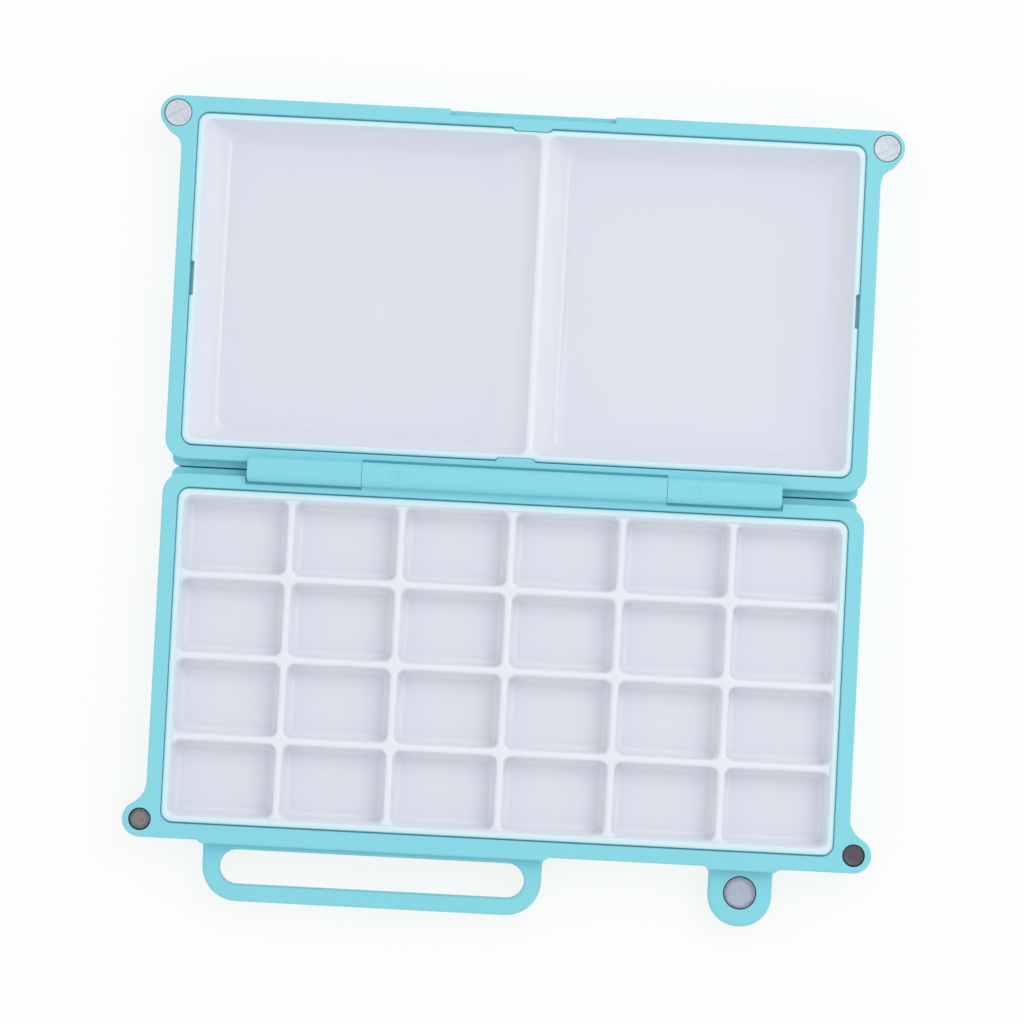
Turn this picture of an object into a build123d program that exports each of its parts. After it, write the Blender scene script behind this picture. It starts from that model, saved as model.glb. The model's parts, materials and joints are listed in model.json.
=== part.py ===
from build123d import *
import math
import os

# A pocket watercolour palette, open flat. Millimetres, +Z up.
# The origin is the centre of the base's underside, +X runs along the hinge and +Y points to the lid.
# Each half is drawn with y = 0 on the hinge axis and its front towards -Y. The lid is then mirrored.

# The two cases
CASE_WIDTH = 130.0  # side face to side face
CASE_HEIGHT = 10.0  # underside to the parting plane, which holds the hinge axis
PARTING_GAP = 0.1  # between the two rims when the lid is shut
FLOOR = 1.6
SIDE_RIM = 2.8
FRONT_RIM = 2.8
REAR_RIM = 2.53
TRAY_OPENING = 62.2  # front to rear, inside the rim
REAR_SETBACK = 1.3  # rear face of the rim to the hinge axis
STOP_GAP = 0.1  # ledge to the hinge axis, so that the halves butt when open flat
LEDGE_INSET = 1.3  # side face to the ledge's end
LEDGE_CORNER_RADIUS = 1.4
LEDGE_ROUND = 0.3
REAR_CORNER_RADIUS = 3.8
OPENING_CORNER_RADIUS = 2.3
OPENING_FOOT_RADIUS = 0.5
OPENING_ROUND = 0.3
RIM_ROUND = 0.45
UNDERSIDE_ROUND = 1.2

# Corner ears and their magnets
EAR_RADIUS = 3.3
EAR_OVERHANG = 0.9  # magnet centre beyond the side face
EAR_RUN_OUT = 7.0  # magnet centre to the end of the concave blend
LID_MAGNET_DIAMETER = 5.0
BASE_MAGNET_DIAMETER = 4.0
EAR_MAGNET_THICKNESS = 2.0
LID_MAGNET_SINK = 0.05
BASE_MAGNET_SINK = 0.35
MAGNET_CLEARANCE = 0.1  # radial
MAGNET_EDGE = 0.15

# Hinge
KNUCKLE_SIZE = 4.6  # square barrel, across flats
KNUCKLE_CORNER = 1.4
KNUCKLE_END_ROUND = 0.6
BASE_KNUCKLE_LENGTH = 56.4
LID_KNUCKLE_LENGTH = 21.2
KNUCKLE_END_GAP = 0.08  # between neighbouring knuckles
NOTCH_CLEARANCE = 0.55  # knuckle flat to the hollow that is cut in the other half's rim
NOTCH_END_GAP = 0.3
PIN_DIAMETER = 1.6
PIN_CLEARANCE = 0.05  # radial
PIN_INSET = 0.5  # pin end below the outer knuckle's end
PIN_CHAMFER = 0.2

# Handle and cup tab on the base's front
PLATE_BOTTOM = 3.4
PLATE_THICKNESS = 3.0
PLATE_EDGE = 0.8
PAD_DEPTH = 0.6  # the front wall stands out this far above the plate
FLARE_RADIUS = 1.8
FLARE_SINK = 0.1  # the flare dips this far under the front face, so that it ends on a clean edge
HANDLE_INSET = 10.8  # left side face to the loop
HANDLE_LENGTH = 62.9
HANDLE_REACH = 11.2  # front face to the outer edge of the loop
HANDLE_CORNER_RADIUS = 6.5
HANDLE_BAR = 3.2
FINGER_SLOT_WIDTH = 6.4
FINGER_SLOT_EDGE = 0.5
TAB_INSET = 19.5  # right side face to the tab's middle
TAB_WIDTH = 11.8
TAB_REACH = 11.05
TAB_TIP_FLAT = 0.4
CUP_MAGNET_DIAMETER = 6.0
CUP_MAGNET_THICKNESS = 2.0
CUP_MAGNET_REACH = 4.8  # front face to the magnet's centre
CUP_MAGNET_SINK = 0.1

# Round marks that the mould's ejector pins leave on the knuckles
EJECTOR_DIAMETER = 1.8
EJECTOR_DEPTH = 0.12
BASE_EJECTOR_X = -22.1
LID_EJECTOR_X = 33.6

# Finger notch and retaining bumps of the lid
FINGER_NOTCH_WIDTH = 30.8
FINGER_NOTCH_DEPTH = 1.3
FINGER_NOTCH_HEIGHT = 3.0
BUMP_WIDTH = 7.4
BUMP_REACH = 0.65
BUMP_HEIGHT = 1.2
BUMP_ROOT = 0.4  # into the rim
BUMP_FIT = 0.15  # bump to the tray's cut-out

# Both trays
TRAY_SIDE_CLEARANCE = 0.12  # in the opening, at each short side
TRAY_LONG_CLEARANCE = 0.25  # at each long side
TRAY_BELOW_RIM = 0.2
TRAY_FOOT_ROUND = 0.8
TRAY_TOP_ROUND = 0.5

# Well tray
WELL_COLUMNS = 6
WELL_ROWS = 4
WELL_SIDE_WALL = 1.35
WELL_END_WALL = 1.5
WELL_RIB = 1.3  # at its top
WELL_DRAFT = 4.0  # degrees
WELL_FLOOR = 1.2
WELL_CORNER_RADIUS = 1.4
WELL_FOOT_RADIUS = 1.0
RIB_BELOW_TOP = 0.5
RIB_CHAMFER = 0.25

# Mixing tray
RIDGE_OFFSET = 2.4  # the ridge stands right of centre
RIDGE_WIDTH = 1.2
RIDGE_BELOW_TOP = 0.6
RIDGE_RAMP = 3.0
MIXING_RIM = 1.1
MIXING_FLOOR = 1.4
MIXING_REAR_SWEEP = 2.6
MIXING_FRONT_SWEEP = 3.2
LEFT_WELL_SLOPE = 4.8  # left side of the left well, straight down to a crisp foot
RIGHT_WELL_SLOPE = 4.3
LEFT_WELL_SWEEP = 7.2  # right side of the left well, curved into its floor
RIGHT_WELL_SWEEP = 4.4
MIXING_TOP_RADIUS = 1.6
MIXING_FLOOR_RADIUS = 3.2
MIXING_TURN = 75.0  # degrees that a curved side has turned up from the floor at its top
MIXING_STEPS = 7
PRY_NOTCH_WIDTH = 6.5
PRY_NOTCH_DEPTH = 0.6
PRY_NOTCH_HEIGHT = 2.5

# Worked out from the sizes above
RIM_TOP = CASE_HEIGHT - PARTING_GAP / 2
SIDE_FACE = CASE_WIDTH / 2
FRONT_FACE = -(REAR_SETBACK + REAR_RIM + TRAY_OPENING + FRONT_RIM)
OPENING_WIDTH = CASE_WIDTH - 2 * SIDE_RIM
OPENING_CENTRE = -(REAR_SETBACK + REAR_RIM + TRAY_OPENING / 2)
HINGE_Y = (STOP_GAP - FRONT_FACE) / 2
EAR_X = SIDE_FACE + EAR_OVERHANG
EAR_Y = FRONT_FACE + EAR_RADIUS
CUP_MAGNET_Y = FRONT_FACE - CUP_MAGNET_REACH
HINGE_END = BASE_KNUCKLE_LENGTH / 2 + KNUCKLE_END_GAP + LID_KNUCKLE_LENGTH
NOTCH_DEPTH = KNUCKLE_SIZE / 2 + NOTCH_CLEARANCE
LEDGE_HEIGHT = CASE_HEIGHT - NOTCH_DEPTH
KNUCKLE_TOP = CASE_HEIGHT + KNUCKLE_SIZE / 2
HANDLE_LEFT = HANDLE_INSET - SIDE_FACE
TAB_X = SIDE_FACE - TAB_INSET
PLATE_TOP = PLATE_BOTTOM + PLATE_THICKNESS
TRAY_TOP = RIM_TOP - TRAY_BELOW_RIM
TRAY_WIDTH = OPENING_WIDTH - 2 * TRAY_SIDE_CLEARANCE
TRAY_DEPTH = TRAY_OPENING - 2 * TRAY_LONG_CLEARANCE


def half_outline():
    """Plan of one half: straight sides, rounded rear corners and a magnet ear at each front corner."""
    blend = (EAR_RUN_OUT**2 + EAR_OVERHANG**2 - EAR_RADIUS**2) / (2 * (EAR_RADIUS + EAR_OVERHANG))
    turn = math.degrees(math.atan2(EAR_RUN_OUT, blend - EAR_OVERHANG))
    ear = CenterArc((EAR_X, EAR_Y), EAR_RADIUS, -90, 90 + turn)
    hollow = CenterArc((SIDE_FACE + blend, EAR_Y + EAR_RUN_OUT), blend, 180 + turn, -turn)
    corner_centre = (SIDE_FACE - REAR_CORNER_RADIUS, -REAR_SETBACK - REAR_CORNER_RADIUS)
    corner = CenterArc(corner_centre, REAR_CORNER_RADIUS, 0, 90)
    right = Line((0, FRONT_FACE), ear @ 0) + ear + hollow + Line(hollow @ 1, corner @ 0)
    right += corner + Line(corner @ 1, (0, -REAR_SETBACK))
    return make_face(right + mirror(right, Plane.YZ))


def top_edges(body):
    """The edges of a body's highest flat face."""
    return body.faces().sort_by(Axis.Z)[-1].edges()


def bottom_edges(body):
    """The edges of a body's lowest flat face."""
    return body.faces().sort_by(Axis.Z)[0].edges()


def rear_ledge():
    """The step along the foot of the rear wall that meets the other half when the palette lies open."""
    width, depth = CASE_WIDTH - 2 * LEDGE_INSET, REAR_CORNER_RADIUS
    ledge = extrude(Rectangle(width, depth), LEDGE_HEIGHT)
    ledge = fillet(ledge.edges().filter_by(Axis.Z).group_by(Axis.Y)[-1], LEDGE_CORNER_RADIUS)
    ledge = fillet(top_edges(ledge).sort_by(Axis.Y)[1:], LEDGE_ROUND)
    ledge = fillet(bottom_edges(ledge).sort_by(Axis.Y)[1:], UNDERSIDE_ROUND)
    return Pos(0, -STOP_GAP - depth / 2) * ledge


def half_shell():
    """One moulded half without its hinge: floor, rim, rear ledge and ears."""
    body = fillet(top_edges(extrude(half_outline(), RIM_TOP)), RIM_ROUND)
    body = fillet(bottom_edges(body), UNDERSIDE_ROUND) + rear_ledge()
    plan = RectangleRounded(OPENING_WIDTH, TRAY_OPENING, OPENING_CORNER_RADIUS)
    opening = fillet(bottom_edges(extrude(plan, CASE_HEIGHT)), OPENING_FOOT_RADIUS)
    body -= Pos(0, OPENING_CENTRE, FLOOR) * opening
    return fillet(body.faces().sort_by(Axis.Z)[-1].inner_wires()[0].edges(), OPENING_ROUND)


def pocket(x, y, top, diameter, depth):
    """A round blind hole, open at the top."""
    return Pos(x, y, top) * Cylinder(diameter / 2, depth, align=(Align.CENTER, Align.CENTER, Align.MAX))


def magnet(x, y, top, diameter, thickness):
    """A disc magnet with broken edges."""
    disc = Cylinder(diameter / 2, thickness, align=(Align.CENTER, Align.CENTER, Align.MAX))
    return Pos(x, y, top) * chamfer(disc.edges().filter_by(GeomType.CIRCLE), MAGNET_EDGE)


def along_hinge(section, start, end):
    """Extrudes a section, drawn about the hinge axis, from one x to another."""
    return Pos(start, 0, CASE_HEIGHT) * extrude(Plane.YZ * section, end - start)


def knuckle(start, end, rounding=0.0):
    """A square hinge barrel, rounded at its start, with the web that ties it down to the ledge."""
    barrel = along_hinge(RectangleRounded(KNUCKLE_SIZE, KNUCKLE_SIZE, KNUCKLE_CORNER), start, end)
    if rounding:
        barrel = fillet(barrel.faces().sort_by(Axis.X)[0].edges(), rounding)
    depth = REAR_SETBACK + REAR_RIM / 2 - STOP_GAP
    foot = LEDGE_HEIGHT - 2 * LEDGE_ROUND
    web = Box(end - start - rounding, depth, CASE_HEIGHT - foot, align=(Align.MIN, Align.MAX, Align.MIN))
    return barrel + Pos(start + rounding, -STOP_GAP, foot) * web


def rim_notch(start, end):
    """The round hollow in the rear rim in which the other half's knuckle turns."""
    return along_hinge(Circle(NOTCH_DEPTH), start, end)


def flared_plan(left, right, reach, corner):
    """Plan of a lug on the front wall, with rounded outer corners and flares into the wall."""
    tip = FRONT_FACE - reach
    shoulder = FRONT_FACE + FLARE_SINK
    root = FRONT_FACE + FRONT_RIM / 2
    margin = FLARE_RADIUS + FRONT_RIM / 2
    outline = Polyline(
        (left - margin, root),
        (left - margin, shoulder),
        (left, shoulder),
        (left, tip),
        (right, tip),
        (right, shoulder),
        (right + margin, shoulder),
        (right + margin, root),
        close=True,
    )
    plan = make_face(outline)
    plan = fillet(plan.vertices().group_by(Axis.Y)[0], corner)
    roots = plan.vertices().group_by(Axis.Y)[-2].sort_by(Axis.X)[1:-1]
    return fillet(roots, FLARE_RADIUS)


def free_edges(edges):
    """Those edges that stand out of the front wall."""
    return [e for e in edges if e.bounding_box().min.Y < FRONT_FACE - FLARE_SINK]


def lug(plan, slot=None):
    """A rounded plate of that plan, under a pad of the same plan that only thickens the front wall."""
    plate = extrude(plan - slot if slot else plan, PLATE_THICKNESS)
    ends = (plate.faces().sort_by(Axis.Z)[0], plate.faces().sort_by(Axis.Z)[-1])
    plate = fillet([e for end in ends for e in free_edges(end.outer_wire().edges())], PLATE_EDGE)
    if slot:
        ends = (plate.faces().sort_by(Axis.Z)[0], plate.faces().sort_by(Axis.Z)[-1])
        plate = fillet([e for end in ends for w in end.inner_wires() for e in w.edges()], FINGER_SLOT_EDGE)
    middle = PLATE_THICKNESS / 2
    wall_side = Rectangle(2 * CASE_WIDTH, CASE_WIDTH, align=(Align.CENTER, Align.MIN))
    pad_plan = plan & (Pos(0, FRONT_FACE - PAD_DEPTH) * wall_side)
    pad = Pos(0, 0, middle) * extrude(pad_plan, RIM_TOP - PLATE_BOTTOM - middle)
    pad = fillet(free_edges(top_edges(pad)), RIM_ROUND)
    return Pos(0, 0, PLATE_BOTTOM) * (plate + pad)


def base_case():
    """The half that stands on the table: middle knuckle, handle, cup tab and magnet pockets."""
    body = half_shell()
    half = BASE_KNUCKLE_LENGTH / 2
    notch = rim_notch(-HINGE_END - NOTCH_END_GAP, -half)
    body -= notch + mirror(notch, Plane.YZ)
    body += knuckle(-half, half)
    body -= pocket(BASE_EJECTOR_X, 0, KNUCKLE_TOP, EJECTOR_DIAMETER, EJECTOR_DEPTH)
    slot_y = FRONT_FACE - HANDLE_REACH + HANDLE_BAR + FINGER_SLOT_WIDTH / 2
    slot = SlotOverall(HANDLE_LENGTH - 2 * HANDLE_BAR, FINGER_SLOT_WIDTH)
    loop = flared_plan(HANDLE_LEFT, HANDLE_LEFT + HANDLE_LENGTH, HANDLE_REACH, HANDLE_CORNER_RADIUS)
    body += lug(loop, Pos(HANDLE_LEFT + HANDLE_LENGTH / 2, slot_y) * slot)
    edge = TAB_WIDTH / 2
    body += lug(flared_plan(TAB_X - edge, TAB_X + edge, TAB_REACH, edge - TAB_TIP_FLAT / 2))
    depth = EAR_MAGNET_THICKNESS + BASE_MAGNET_SINK
    for x in (-EAR_X, EAR_X):
        body -= pocket(x, EAR_Y, RIM_TOP, BASE_MAGNET_DIAMETER + 2 * MAGNET_CLEARANCE, depth)
    depth = CUP_MAGNET_THICKNESS + CUP_MAGNET_SINK
    body -= pocket(TAB_X, CUP_MAGNET_Y, PLATE_TOP, CUP_MAGNET_DIAMETER + 2 * MAGNET_CLEARANCE, depth)
    return body - along_hinge(Circle(PIN_DIAMETER / 2 + PIN_CLEARANCE), -half, half)


def bump_plan(grow):
    """Plan of a retaining bump at the middle of the opening's front edge, grown for its cut-out."""
    wall = -TRAY_OPENING / 2
    root = BUMP_WIDTH / 2 + BUMP_ROOT + grow
    tip = BUMP_WIDTH / 2 - BUMP_REACH + grow
    return make_face(Polyline(
        (-root, wall - BUMP_ROOT), (root, wall - BUMP_ROOT),
        (tip, wall + BUMP_REACH + grow), (-tip, wall + BUMP_REACH + grow), close=True,
    ))


def at_bumps(plan, bottom, top):
    """Extrudes a plan at both of the opening's long edges."""
    block = extrude(plan, top - bottom)
    return Pos(0, OPENING_CENTRE, bottom) * (block + mirror(block, Plane.XZ))


def lid_case():
    """The half that turns: outer knuckles, finger notch, retaining bumps and magnet pockets."""
    body = half_shell()
    inner = BASE_KNUCKLE_LENGTH / 2 + KNUCKLE_END_GAP
    body -= rim_notch(-inner, inner)
    left = knuckle(-HINGE_END, -inner, KNUCKLE_END_ROUND)
    body += left + mirror(left, Plane.YZ)
    body -= pocket(LID_EJECTOR_X, 0, KNUCKLE_TOP, EJECTOR_DIAMETER, EJECTOR_DEPTH)
    body -= Pos(0, FRONT_FACE, RIM_TOP) * Box(
        FINGER_NOTCH_WIDTH, 2 * FINGER_NOTCH_DEPTH, 2 * FINGER_NOTCH_HEIGHT
    )
    body += at_bumps(bump_plan(0), RIM_TOP - BUMP_HEIGHT, RIM_TOP)
    depth = EAR_MAGNET_THICKNESS + LID_MAGNET_SINK
    for x in (-EAR_X, EAR_X):
        body -= pocket(x, EAR_Y, RIM_TOP, LID_MAGNET_DIAMETER + 2 * MAGNET_CLEARANCE, depth)
    return body - along_hinge(Circle(PIN_DIAMETER / 2 + PIN_CLEARANCE), -HINGE_END, HINGE_END)


def hinge_pin():
    """The steel pin through all three knuckles."""
    end = HINGE_END - PIN_INSET
    rod = along_hinge(Circle(PIN_DIAMETER / 2), -end, end)
    return chamfer(rod.edges().filter_by(GeomType.CIRCLE), PIN_CHAMFER)


def tray_blank():
    """The block that either tray is hollowed from, rounded along its foot and its top."""
    plan = RectangleRounded(TRAY_WIDTH, TRAY_DEPTH, OPENING_CORNER_RADIUS - TRAY_LONG_CLEARANCE)
    blank = extrude(Pos(0, OPENING_CENTRE, FLOOR) * plan, TRAY_TOP - FLOOR)
    blank = fillet(bottom_edges(blank), TRAY_FOOT_ROUND)
    return fillet(top_edges(blank), TRAY_TOP_ROUND)


def well_tray():
    """The paint tray: drafted wells in rows, with ribs that stop short of the rim."""
    inside_width = TRAY_WIDTH - 2 * WELL_SIDE_WALL
    inside_depth = TRAY_DEPTH - 2 * WELL_END_WALL
    width = (inside_width + WELL_RIB) / WELL_COLUMNS - WELL_RIB
    depth = (inside_depth + WELL_RIB) / WELL_ROWS - WELL_RIB
    rib_top = TRAY_TOP - RIB_BELOW_TOP
    mouth = rib_top - RIB_CHAMFER
    plan = RectangleRounded(width, depth, WELL_CORNER_RADIUS)
    well = Pos(0, 0, mouth) * extrude(plan, FLOOR + WELL_FLOOR - mouth, taper=WELL_DRAFT)
    well = fillet(bottom_edges(well), WELL_FOOT_RADIUS)
    well += Pos(0, 0, mouth) * extrude(plan, RIB_CHAMFER, taper=-45)
    grid = GridLocations(width + WELL_RIB, depth + WELL_RIB, WELL_COLUMNS, WELL_ROWS)
    grow = 2 * RIB_CHAMFER
    inside = RectangleRounded(inside_width + grow, inside_depth + grow, WELL_CORNER_RADIUS + RIB_CHAMFER)
    tray = tray_blank() - Pos(0, OPENING_CENTRE, rib_top) * extrude(inside, RIB_BELOW_TOP)
    return tray - [Pos(0, OPENING_CENTRE) * place * well for place in grid]


def mixing_well(left, right, slope, sweep):
    """Cutter for a mixing well: its left side is straight, and its other sides curve into the floor."""
    front = -TRAY_DEPTH / 2 + MIXING_RIM
    rear = TRAY_DEPTH / 2 - MIXING_RIM
    bottom = FLOOR + MIXING_FLOOR
    sections = []
    whole = math.radians(MIXING_TURN)
    for step in range(MIXING_STEPS + 1):
        turn = whole * step / MIXING_STEPS
        share = math.sin(turn) / math.sin(whole)
        height = (1 - math.cos(turn)) / (1 - math.cos(whole))
        x0 = left + slope * (1 - height)
        x1 = right - sweep * (1 - share)
        y0 = front + MIXING_FRONT_SWEEP * (1 - share)
        y1 = rear - MIXING_REAR_SWEEP * (1 - share)
        corner = MIXING_FLOOR_RADIUS + (MIXING_TOP_RADIUS - MIXING_FLOOR_RADIUS) * share
        middle = Pos((x0 + x1) / 2, OPENING_CENTRE + (y0 + y1) / 2, bottom + (TRAY_TOP - bottom) * height)
        sections.append(middle * RectangleRounded(x1 - x0, y1 - y0, corner))
    return loft(sections)


def ridge_dip():
    """Lowers the ridge between the mixing wells, with a ramp up to the rim at each end."""
    edge = TRAY_DEPTH / 2 - MIXING_RIM
    low = TRAY_TOP - RIDGE_BELOW_TOP
    high = TRAY_TOP + RIDGE_BELOW_TOP
    profile = make_face(Polyline(
        (-edge, TRAY_TOP), (RIDGE_RAMP - edge, low), (edge - RIDGE_RAMP, low),
        (edge, TRAY_TOP), (edge, high), (-edge, high), close=True,
    ))
    width = RIDGE_WIDTH + 2 * RIDGE_RAMP
    return Pos(RIDGE_OFFSET - width / 2, OPENING_CENTRE) * extrude(Plane.YZ * profile, width)


def mixing_tray():
    """The mixing tray: two wells, a ridge, pry notches and cut-outs for the lid's bumps."""
    edge = TRAY_WIDTH / 2 - MIXING_RIM
    tray = tray_blank()
    tray -= mixing_well(-edge, RIDGE_OFFSET - RIDGE_WIDTH / 2, LEFT_WELL_SLOPE, LEFT_WELL_SWEEP)
    tray -= mixing_well(RIDGE_OFFSET + RIDGE_WIDTH / 2, edge, RIGHT_WELL_SLOPE, RIGHT_WELL_SWEEP)
    tray -= ridge_dip()
    tray -= at_bumps(bump_plan(BUMP_FIT), RIM_TOP - BUMP_HEIGHT - BUMP_FIT, RIM_TOP)
    notch = Box(2 * PRY_NOTCH_DEPTH, PRY_NOTCH_WIDTH, 2 * PRY_NOTCH_HEIGHT)
    return tray - [Pos(side * TRAY_WIDTH / 2, OPENING_CENTRE, TRAY_TOP) * notch for side in (-1, 1)]


def ear_magnet(side, diameter, sink):
    """The magnet of the left (-1) or right (1) ear."""
    return magnet(side * EAR_X, EAR_Y, RIM_TOP - sink, diameter, EAR_MAGNET_THICKNESS)


BASE_PIECES = {
    "base_case": base_case(),
    "well_tray": well_tray(),
    "hinge_pin": hinge_pin(),
    "base_magnet_left": ear_magnet(-1, BASE_MAGNET_DIAMETER, BASE_MAGNET_SINK),
    "base_magnet_right": ear_magnet(1, BASE_MAGNET_DIAMETER, BASE_MAGNET_SINK),
    "cup_magnet": magnet(
        TAB_X, CUP_MAGNET_Y, PLATE_TOP - CUP_MAGNET_SINK, CUP_MAGNET_DIAMETER, CUP_MAGNET_THICKNESS
    ),
}
LID_PIECES = {
    "lid_case": lid_case(),
    "mixing_tray": mixing_tray(),
    "lid_magnet_left": ear_magnet(-1, LID_MAGNET_DIAMETER, LID_MAGNET_SINK),
    "lid_magnet_right": ear_magnet(1, LID_MAGNET_DIAMETER, LID_MAGNET_SINK),
}

pieces = {name: Pos(0, HINGE_Y) * shape for name, shape in BASE_PIECES.items()}
pieces |= {name: Pos(0, HINGE_Y) * mirror(shape, Plane.XZ) for name, shape in LID_PIECES.items()}

os.makedirs("parts", exist_ok=True)
for name, shape in pieces.items():
    export_step(shape, f"parts/{name}.step")
    print(name, len(shape.solids()), round(shape.volume, 1))
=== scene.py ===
# %% [markdown]
# # A mini watercolour palette, open flat
#
# The real palette is two injection-moulded halves in turquoise plastic, joined by a
# square-barrelled hinge. Each half holds a glossy white tray: 24 paint wells in the base, two
# mixing wells in the lid. Disc magnets sit in the corner ears and in the cup tab. The construction
# comes from the CAD model, which is loaded here as a fixed frame. This lesson adds the finish:
# finer meshes where light shows every rounded edge, and a procedural material on every surface.

import json
import math

import bmesh
import bpy
from mathutils import Euler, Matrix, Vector

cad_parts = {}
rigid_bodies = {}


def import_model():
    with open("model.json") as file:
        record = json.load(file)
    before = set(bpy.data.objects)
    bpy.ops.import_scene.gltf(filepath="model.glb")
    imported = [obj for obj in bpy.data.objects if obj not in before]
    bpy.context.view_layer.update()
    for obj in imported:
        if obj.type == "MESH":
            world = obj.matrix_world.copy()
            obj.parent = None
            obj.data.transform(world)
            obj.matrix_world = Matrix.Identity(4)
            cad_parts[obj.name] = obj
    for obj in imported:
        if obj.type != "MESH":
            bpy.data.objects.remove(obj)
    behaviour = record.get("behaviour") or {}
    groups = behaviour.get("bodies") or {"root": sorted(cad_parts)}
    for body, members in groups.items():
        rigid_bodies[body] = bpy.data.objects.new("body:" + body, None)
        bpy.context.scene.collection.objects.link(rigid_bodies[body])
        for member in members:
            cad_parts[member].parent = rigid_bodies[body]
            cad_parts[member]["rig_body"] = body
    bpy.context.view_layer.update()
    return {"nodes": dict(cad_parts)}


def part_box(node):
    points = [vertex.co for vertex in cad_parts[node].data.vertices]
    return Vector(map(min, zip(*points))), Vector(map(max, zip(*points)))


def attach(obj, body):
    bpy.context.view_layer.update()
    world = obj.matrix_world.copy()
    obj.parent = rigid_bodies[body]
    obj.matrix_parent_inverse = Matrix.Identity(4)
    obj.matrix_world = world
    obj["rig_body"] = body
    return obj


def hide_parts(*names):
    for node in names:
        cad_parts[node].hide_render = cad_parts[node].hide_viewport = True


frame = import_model()
nodes = frame["nodes"]
MM = 0.001
print("CAD nodes:", ", ".join(sorted(nodes)))

# %% [markdown]
# ## Camera
# The picture was taken from almost straight above, with a long lens, and the palette lies about
# three degrees off square. The camera could be placed by eye, but a look down on flat corners gives
# its angle away: the values below make the tray corners and magnets fall where the picture has
# them, within two pixels.

# %% Camera
CAMERA_DISTANCE = 0.7
CAMERA_LENS = 133.1
CAMERA_AIM = Vector((-0.0002, 0.0290, 0.00995))
CAMERA_TURN = Euler((math.radians(2.17), math.radians(0.2), math.radians(2.95)))

camera = bpy.data.objects.new("camera", bpy.data.cameras.new("camera"))
bpy.context.scene.collection.objects.link(camera)
camera.data.lens = CAMERA_LENS
camera.data.clip_start = 0.01
camera.rotation_euler = CAMERA_TURN
camera.location = CAMERA_AIM + CAMERA_TURN.to_matrix() @ Vector((0, 0, CAMERA_DISTANCE))
bpy.context.scene.camera = camera
print("camera at", [round(c, 4) for c in camera.location])

# %% [markdown]
# ## Node helpers
# Worlds and materials are trees of nodes. They could be clicked together by hand, but code can be
# read and run again. A few helpers keep it short: they add a node with its values set, do sums on
# sockets and plain numbers, and link pairs of sockets.

# %% Node helpers
def fill(node, values):
    """Sets the sockets of a node, by name or number."""
    for key, value in values.items():
        node.inputs[key].default_value = value


def add(tree, kind, inputs=(), **settings):
    """A node with its properties set and its inputs filled."""
    node = tree.nodes.new(kind)
    for key, value in settings.items():
        setattr(node, key, value)
    fill(node, dict(inputs))
    return node


def maths(tree, operation, first, second=None, third=None, clamp=False):
    """A Math node whose operands are sockets or numbers."""
    node = add(tree, "ShaderNodeMath", operation=operation, use_clamp=clamp)
    for index, value in enumerate((first, second, third)):
        if isinstance(value, bpy.types.NodeSocket):
            tree.links.new(value, node.inputs[index])
        elif value is not None:
            node.inputs[index].default_value = value
    return node.outputs[0]


def minus(tree, first, second, clamp=False):
    return maths(tree, "SUBTRACT", first, second, clamp=clamp)


def times(tree, first, second, clamp=False):
    return maths(tree, "MULTIPLY", first, second, clamp=clamp)


def link_all(tree, *pairs):
    """Links each output to the input beside it."""
    for source, target in pairs:
        tree.links.new(source, target)


# %% [markdown]
# ## Light and floor
# White plastic needs soft light, or its shallow forms disappear in hard shadows. An even white
# world supplies most of it, as a light tent would. One broad lamp stands at the upper right of the
# picture, so that the left and near walls of the wells catch it and the right and far walls fall
# into a narrow shade.

# %% Lamp
LAMP_WATTS = 1.6
LAMP_PLACE = Vector((0.42, 0.38, 0.85))
LAMP_SIZE = 0.5

scene = bpy.context.scene
scene.view_settings.view_transform = "Standard"

light = bpy.data.lights.new("key_lamp", "AREA")
light.shape = "DISK"
light.size = LAMP_SIZE
light.energy = LAMP_WATTS
lamp = bpy.data.objects.new("key_lamp", light)
scene.collection.objects.link(lamp)
lamp.location = LAMP_PLACE
lamp.rotation_euler = (CAMERA_AIM - LAMP_PLACE).to_track_quat("-Z", "Y").to_euler()
print("lamp:", lamp.name, "of", LAMP_WATTS, "W")

# %% World
WORLD_STRENGTH = 0.88


def seen_directly(tree):
    """1 for a ray from the camera or off a glossy surface, which shows the studio itself."""
    ray = add(tree, "ShaderNodeLightPath")
    return maths(tree, "MAXIMUM", ray.outputs["Is Camera Ray"], ray.outputs["Is Glossy Ray"])


world = bpy.data.worlds.new("studio")
scene.world = world
world.use_nodes = True
tree = world.node_tree
background = tree.nodes["Background"]
fill(background, {"Color": (1, 1, 1, 1)})
level = add(tree, "ShaderNodeMapRange", inputs={"To Min": WORLD_STRENGTH, "To Max": 1.0})
link_all(
    tree,
    (seen_directly(tree), level.inputs["Value"]),
    (level.outputs["Result"], background.inputs["Strength"]),
)
print("world:", world.name, "at", WORLD_STRENGTH)

# %% [markdown]
# The floor is a plain white sheet. It is see-through from below, so that the underside can be
# looked at too. To the camera it glows, which keeps it white without more light on the palette, and
# its own diffuse part still takes the shadow.

# %% Floor
FLOOR_SIZE = 3.0
FLOOR_DROP = 0.02 * MM
FLOOR_SQUARES = 12

floor_mesh = bmesh.new()
bmesh.ops.create_grid(
    floor_mesh, x_segments=FLOOR_SQUARES, y_segments=FLOOR_SQUARES, size=FLOOR_SIZE / 2
)
bmesh.ops.translate(floor_mesh, verts=floor_mesh.verts, vec=(0, 0, -FLOOR_DROP))
floor = bpy.data.objects.new("floor", bpy.data.meshes.new("floor"))
floor_mesh.to_mesh(floor.data)
floor_mesh.free()
scene.collection.objects.link(floor)
print("floor at z =", -FLOOR_DROP)

# %% Paper
PAPER_WHITE = (0.93, 0.93, 0.93, 1)
PAPER_GLOW = 0.8

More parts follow.
